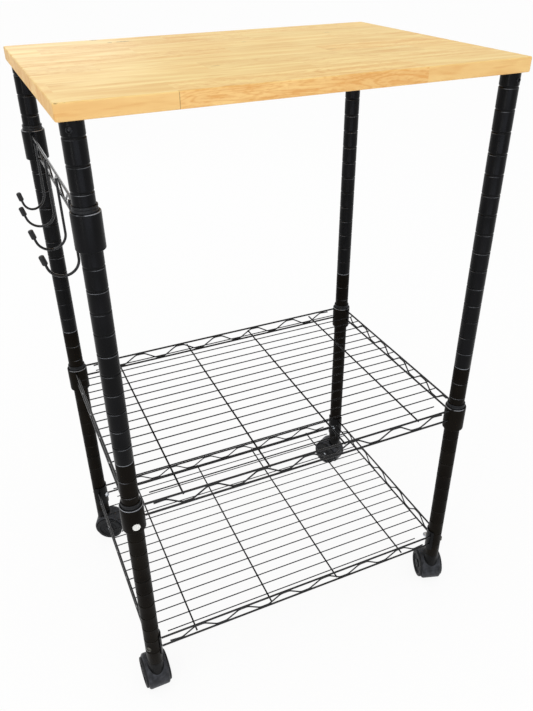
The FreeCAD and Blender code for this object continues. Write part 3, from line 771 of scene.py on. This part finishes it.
class CART_OT_collars(Operator):
    """Turns the collars, their split sleeves and the round plate"""
    bl_idname = "cart.collars"
    bl_label = "Build collars"

    def execute(self, context):
        metal = context.scene.cart_metal
        for group, corners in (("mid", CORNERS), ("rail", ("fl", "bl"))):
            for corner in corners:
                self.collar(group, corner, metal)
        self.plate(context.scene.cart_plastic)
        return {"FINISHED"}

    def collar(self, group, corner, metal):
        """A tapered ring on a post, and the two halves of the sleeve that it is wedged on."""
        low, high = corners_of(f"{group}_collars")
        sleeve_low, sleeve_high = corners_of(f"{group}_sleeves")
        axis = post_axis(corner)
        radius = post_axis("fl")[0] - low[0]
        slip, ridge, brow_rise, half_slit = 0.05 * MM, 0.6 * MM, 2.2 * MM, 0.4 * MM
        bore = radius_of(f"upper_post_{corner}") + slip
        top_bore, foot_bore = radius - metal.collar_top_wall, radius - metal.collar_foot_wall
        ring = eased([(foot_bore, low[2]), (radius, low[2]), (radius, high[2]), (top_bore, high[2])],
                     [0.3 * MM, 1.2 * MM, 1.3 * MM, 0.5 * MM])
        around = 72
        points, faces = lathe(ring, around)
        # Painted highlight along the outer edge at the top, brightest at the middle of its easing
        lip_highlight = np.zeros(len(ring))
        brightest = 2 * EASE_STEPS + EASE_STEPS // 2
        lip_highlight[brightest - 1:brightest + 2] = (2.0, 3.0, 2.0)
        # The middle collars take the browner, duller copy of the coat, painted as shade
        coat = shaded_lower_coat() if group == "mid" else powder_coat()
        add_piece(f"{group}_collar_{corner}", (points + (*axis, 0), faces), coat,
                  nodes=[f"{group}_collars"], lip_highlight=np.repeat(lip_highlight, around))
        outer, brow = top_bore - slip, high[2] + brow_rise
        body = eased([(bore, sleeve_low[2]), (foot_bore - slip, sleeve_low[2]), (outer, high[2]),
                      (outer, brow), (outer - ridge, brow + ridge), (outer - ridge, brow + 2 * ridge),
                      (outer, brow + 3 * ridge), (outer, sleeve_high[2]), (bore, sleeve_high[2])],
                     np.array([0.2, 0.2, 0.2, 0.25, 0.2, 0.2, 0.25, 0.8, 0.3]) * MM)
        half_gap = half_slit / top_bore
        for side, start in (("front", -math.pi), ("back", 0.0)):
            points, faces = lathe(body, 40, start + half_gap, math.pi - 2 * half_gap)
            add_piece(f"{group}_sleeve_{side}_{corner}", (points + (*axis, 0), faces), nylon(),
                      nodes=[f"{group}_sleeves"])

    def plate(self, plastic):
        """A bare round plate with a raised rim, turned about the way it faces."""
        low, high = corners_of("badge")
        radius = radius_of("badge")
        tall = high[1] - low[1]
        rim, sunk, crown = 1.0 * MM, 0.35 * MM, 0.05 * MM
        outline = eased([(0, 0), (radius, 0), (radius, tall), (radius - rim, tall),
                         (radius - 1.3 * rim, tall - sunk), (0, tall - sunk + crown)],
                        [0, 0.1 * MM, 0.3 * MM, 0.25 * MM, 0.2 * MM, 0])
        points, faces = lathe(outline, 64)
        origin = ((low[0] + high[0]) / 2, high[1], (low[2] + high[2]) / 2)
        # Satin enamel on a pressed disc: off-white, with faint clouding
        enamel = mottled("satin_enamel", plastic.badge, linear("#DAD9D3"),
                         patch=3, grain=0.8, rise=0.008, smooth=0.3, rough=0.42, specular=0.5)
        add_piece("round_plate", (place(points, origin, FRONT), faces), enamel,
                  nodes=["badge"])


class CART_OT_shelves(Operator):
    """Finishes the shelves and the hook rail and sets their welds"""
    bl_idname = "cart.shelves"
    bl_label = "Build shelves"

    def execute(self, context):
        metal = context.scene.cart_metal
        trusses = [f"{shelf}_{side}_truss" for shelf in ("mid", "lower") for side in
                   ("front", "back", "left", "right")]
        wires = [f"{shelf}_{kind}_wires" for shelf in ("mid", "lower") for kind in ("cross", "deck")]
        dress(powder_coat(), *wires, "corner_plates")
        dress(wire_coat(), *trusses, "hook_rail", *[f"hook_{i}" for i in range(1, 5)])
        # Dipped vinyl caps: soft black, duller than the paint, with a faint skin
        vinyl = mottled("dipped_vinyl", context.scene.cart_plastic.vinyl, linear("#121213"),
                        patch=6, grain=0.9, rise=0.02, smooth=0.42, rough=0.55, specular=0.35)
        dress(vinyl, "hook_tips")
        for shelf in ("mid", "lower"):
            self.welds(shelf, metal)
        return {"FINISHED"}

    def welds(self, shelf, metal):
        """Small resistance welds: a flat ellipsoid where deck wires meet cross wires and side trusses."""
        deck_low, deck_high = corners_of(f"{shelf}_deck_wires")
        cross_low, cross_high = corners_of(f"{shelf}_cross_wires")
        left, right, front, back = (sum(corners_of(f"{shelf}_{side}_truss")) / 2
                                    for side in ("left", "right", "front", "back"))
        rows = np.linspace(front[1], back[1], DECK_WIRES + 2)[1:-1]
        middle = (left[0] + right[0]) / 2
        reach = np.array([-metal.cross_outer, -metal.cross_inner, metal.cross_inner, metal.cross_outer])
        deck = (deck_low[2] + deck_high[2]) / 2
        cross = (cross_low[2] + cross_high[2]) / 2
        touch = deck + np.sign(cross - deck) * (deck_high[2] - deck_low[2]) / 2
        over = level_grid(middle + reach, rows, touch)
        # The middle shelf's lip hangs and the lower one's stands, so the rim lies above or below the deck
        rim_offset = 0.6 * MM
        rim = deck + (rim_offset if shelf == "mid" else -rim_offset)
        sides = level_grid([left[0], right[0]], rows[1:-1], rim)
        swell = (deck_high[2] - deck_low[2]) * np.array([0.85, 0.75, 0.4])
        crossings = beads(np.concatenate([over, sides]), swell)
        add_piece(f"{shelf}_deck_welds", crossings, powder_coat())


class CART_OT_casters(Operator):
    """Turns the caster wheels and finishes the hoods"""
    bl_idname = "cart.casters"
    bl_label = "Build casters"

    # Past the post's radius, the black of a hood's barrel ends between these two
    barrel_end = (0.1 * MM, 0.4 * MM)

    def execute(self, context):
        plastic = context.scene.cart_plastic
        # Hard rubbery wheel: near black, dull, with a fine scuffed skin
        tread = mottled("hard_rubber", plastic.tread, linear("#101113"),
                        patch=9, grain=0.8, rise=0.03, smooth=0.5, rough=0.66, specular=0.22)
        for corner in CORNERS:
            dress(self.hood(corner, plastic), f"caster_housing_{corner}")
            dress(zinc_plate(), f"caster_pins_{corner}")
            for side in ("left", "right"):
                self.wheel(f"wheel_{side}_{corner}", f"roll_{side}_{corner}", tread)
        return {"FINISHED"}

    def hood(self, corner, plastic):
        """Moulded nylon: dark grey with a fine satin skin, black within the post's radius of its axis."""
        material = mottled(f"hood_nylon_{corner}", plastic.hood, linear("#27282A"),
                           patch=7, grain=0.9, rise=0.03, smooth=0.3, rough=0.44, specular=0.09)
        tree, paint, moulded, at = base_coat(material)
        near, far = (radius_of(f"lower_post_{corner}") + past for past in self.barrel_end)
        off = add_node(tree, "VectorMath", {0: at, 1: (*post_axis(corner), 0.0)}, operation="SUBTRACT")
        level = add_node(tree, "VectorMath", {0: off, 1: (1.0, 1.0, 0.0)}, operation="MULTIPLY")
        away = add_node(tree, "VectorMath", {0: level}, operation="LENGTH")
        share = add_node(tree, "MapRange",
                         {"Value": away.outputs["Value"], "From Min": near, "From Max": far})
        tone = add_node(tree, "Mix", {SHARE: share, FIRST: plastic.barrel, SECOND: moulded},
                        data_type="RGBA")
        tree.links.new(tone.outputs[MIXED], paint)
        return material

    def wheel(self, node, joint_name, material):
        """A turned wheel: rounded tread with a parting groove, dished face with a raised ring, and hub."""
        joint = next(j for j in frame["joints"] if j["name"] == joint_name)
        origin = np.array(joint["pos_m"], float)
        axis = np.array(joint["axis"], float)
        points = node_points(node) - origin
        along = points @ axis
        if abs(along.min()) > abs(along.max()):
            axis, along = -axis, -along
        radius = np.linalg.norm(points - np.outer(points @ axis, axis), axis=1).max()
        near, far = along.min(), along.max()
        half = (near + far) / 2
        bore, hub, dish, sunk = 2.55 * MM, 7 * MM, 17.5 * MM, 2.6 * MM
        groove_half, groove_depth = 0.7 * MM, 0.5 * MM
        ring_in, ring_out, ring_tall = 11.0 * MM, 12.4 * MM, 0.7 * MM
        ring_lean, dish_lean, hub_lean = 0.4 * MM, 0.6 * MM, 0.5 * MM
        floor = far - sunk
        ring_top = floor + ring_tall
        outline = eased(
            [(bore, near), (radius, near), (radius, half - groove_half), (radius - groove_depth, half),
             (radius, half + groove_half), (radius, far), (dish, far), (dish - dish_lean, floor),
             (ring_out + ring_lean, floor), (ring_out, ring_top), (ring_in, ring_top),
             (ring_in - ring_lean, floor), (hub + hub_lean, floor), (hub, far), (bore, far)],
            np.array([0.1, 1.6, 0.3, 0.3, 0.3, 2.0, 0.9, 0.9, 0.2, 0.2, 0.2, 0.2, 0.7, 0.8, 0.2]) * MM,
            steps=5)
        turned, faces = lathe(outline, 80)
        add_piece(f"{node}_turned", (place(turned, origin, axis), faces), material,
                  body=node, nodes=[node])


class CART_OT_stage(Operator):
    """Sets up the floor, the light and the camera"""
    bl_idname = "cart.stage"
    bl_label = "Build stage"

    def execute(self, context):
        stage = context.scene.cart_stage
        context.scene.view_settings.view_transform = "Standard"
        self.floor(stage)
        self.world(context, stage)
        self.lamps(stage)
        self.camera(context, stage)
        return {"FINISHED"}

    def floor(self, stage):
        """A wide pale floor that takes the shadow and stays white in the open."""
        reach, lines, white_share = 12.0, 5, 0.9
        step = np.linspace(-reach, reach, lines)
        mesh = bpy.data.meshes.new("floor")
        points = level_grid(step, step, 0.0)
        mesh.from_pydata(points.tolist(), [], grid_faces(lines, lines, False, False).tolist())
        floor = add_object("floor", mesh)
        material, tree, shader, at = start_material("studio_floor", stage.floor)
        clouds = add_node(tree, "TexNoise", {"Vector": at, "Scale": per_mm(900), "Detail": 2.0})
        rough = add_node(tree, "MapRange", {"Value": clouds.outputs["Fac"], "To Min": 0.85, "To Max": 1.0})
        set_sockets(tree, shader, {"Base Color": stage.floor, "Roughness": rough,
                                   "Specular IOR Level": 0.0})
        glow = add_node(tree, "Emission", {"Color": (1, 1, 1, 1), "Strength": 1.0})
        share = add_node(tree, "Math", {0: self.seen(tree), 1: white_share}, operation="MULTIPLY")
        mixed = add_node(tree, "MixShader", {0: share, 1: shader, 2: glow})
        set_sockets(tree, tree.nodes["Material Output"], {"Surface": mixed})
        mesh.materials.append(material)

    def seen(self, tree):
        """One for a ray from the eye, or one mirrored or let through on its way; otherwise nought."""
        ray = add_node(tree, "LightPath", {})
        eye = add_node(tree, "Math", {0: ray.outputs["Is Camera Ray"], 1: ray.outputs["Is Glossy Ray"]},
                       operation="ADD")
        return add_node(tree, "Math", {0: eye, 1: ray.outputs["Is Transmission Ray"]}, operation="ADD",
                        use_clamp=True)

    def world(self, context, stage):
        """White to the eye and in reflections, and softer as light."""
        world = bpy.data.worlds.new("studio")
        world.use_nodes = True
        context.scene.world = world
        tree = world.node_tree
        strength = add_node(tree, "MapRange",
                            {"Value": self.seen(tree), "To Min": stage.ambient, "To Max": 1.0})
        set_sockets(tree, tree.nodes["Background"], {"Color": (1, 1, 1, 1), "Strength": strength})

    def lamps(self, stage):
        """A broad soft light from above, and panels before, beside and behind that draw soft highlights."""
        sun = bpy.data.lights.new("overhead", "SUN")
        sun.energy = stage.overhead
        sun.angle = math.radians(70)
        lamp = add_object("overhead", sun)
        lamp.rotation_euler = (math.radians(14), math.radians(-12), 0)
        # Place, width, height, brightness against the others and colour; all face the cart's middle
        middle = Vector((0.0, 0.0, 0.6))
        panels = {"front_panel": ((-0.4, -2.6, 2.3), 0.55, 0.55, 1.1, "#FFFFFF"),
                  "low_panel": ((-0.2, -1.45, 0.44), 1.2, 0.3, 0.55, "#E3EBFF"),
                  "left_panel": ((-1.9, -1.8, 0.7), 0.25, 1.5, 1.3, "#FFFFFF"),
                  "back_panel": ((0.1, 2.6, 1.4), 0.8, 0.6, 0.52, "#FFFFFF")}
        for name, (spot, width, height, share, tint) in panels.items():
            panel = bpy.data.lights.new(name, "AREA")
            panel.shape = "RECTANGLE"
            panel.size = width
            panel.size_y = height
            panel.energy = math.pi * width * height * stage.panels * share
            panel.color = linear(tint)[:3]
            lamp = add_object(name, panel)
            lamp.location = spot
            aim = middle - lamp.location
            lamp.rotation_euler = aim.to_track_quat("-Z", "Y").to_euler()
            lamp.visible_camera = False

    def camera(self, context, stage):
        """The camera of the photograph: yaw and pitch of the view, then a roll about it."""
        way = np.array([math.sin(stage.azimuth) * math.cos(stage.pitch),
                        math.cos(stage.azimuth) * math.cos(stage.pitch), -math.sin(stage.pitch)])
        level = np.array([math.cos(stage.azimuth), -math.sin(stage.azimuth), 0.0])
        down = np.cross(way, level)
        right = math.cos(stage.roll) * level + math.sin(stage.roll) * down
        down = math.cos(stage.roll) * down - math.sin(stage.roll) * level
        lens = bpy.data.cameras.new("photo_camera")
        lens.sensor_fit = "VERTICAL"
        lens.sensor_height = SENSOR_HEIGHT
        lens.lens = stage.focal / PICTURE_HEIGHT * SENSOR_HEIGHT
        lens.clip_end = 100.0
        camera = add_object("photo_camera", lens)
        turn = np.eye(4)
        turn[:3, :3] = np.stack([right, -down, -way], axis=-1)
        turn[:3, 3] = stage.camera_place
        camera.matrix_world = turn.T.tolist()
        context.scene.camera = camera


class CART_PT_sidebar(Panel):
    """Lists the steps of the cart and their settings"""
    bl_idname = "CART_PT_sidebar"
    bl_label = "Rolling cart"
    bl_space_type = "VIEW_3D"
    bl_region_type = "UI"
    bl_category = "Cart"

    def draw(self, context):
        for step in OPERATORS:
            self.layout.operator(step.bl_idname)
        for name, group in SETTINGS.items():
            box = self.layout.box()
            for field in group.__annotations__:
                box.prop(getattr(context.scene, name), field)


OPERATORS = (CART_OT_worktop, CART_OT_posts, CART_OT_collars, CART_OT_shelves, CART_OT_casters,
             CART_OT_stage)
CLASSES = (*SETTINGS.values(), *OPERATORS, CART_PT_sidebar)


def register():
    for item in CLASSES:
        bpy.utils.register_class(item)
    for name, group in SETTINGS.items():
        setattr(bpy.types.Scene, name, PointerProperty(type=group))


def unregister():
    for name in SETTINGS:
        delattr(bpy.types.Scene, name)
    for item in reversed(CLASSES):
        bpy.utils.unregister_class(item)


def main():
    register()
    bpy.ops.cart.worktop()
    bpy.ops.cart.posts()
    bpy.ops.cart.collars()
    bpy.ops.cart.shelves()
    bpy.ops.cart.casters()
    bpy.ops.cart.stage()


if __name__ == "__main__":
    main()
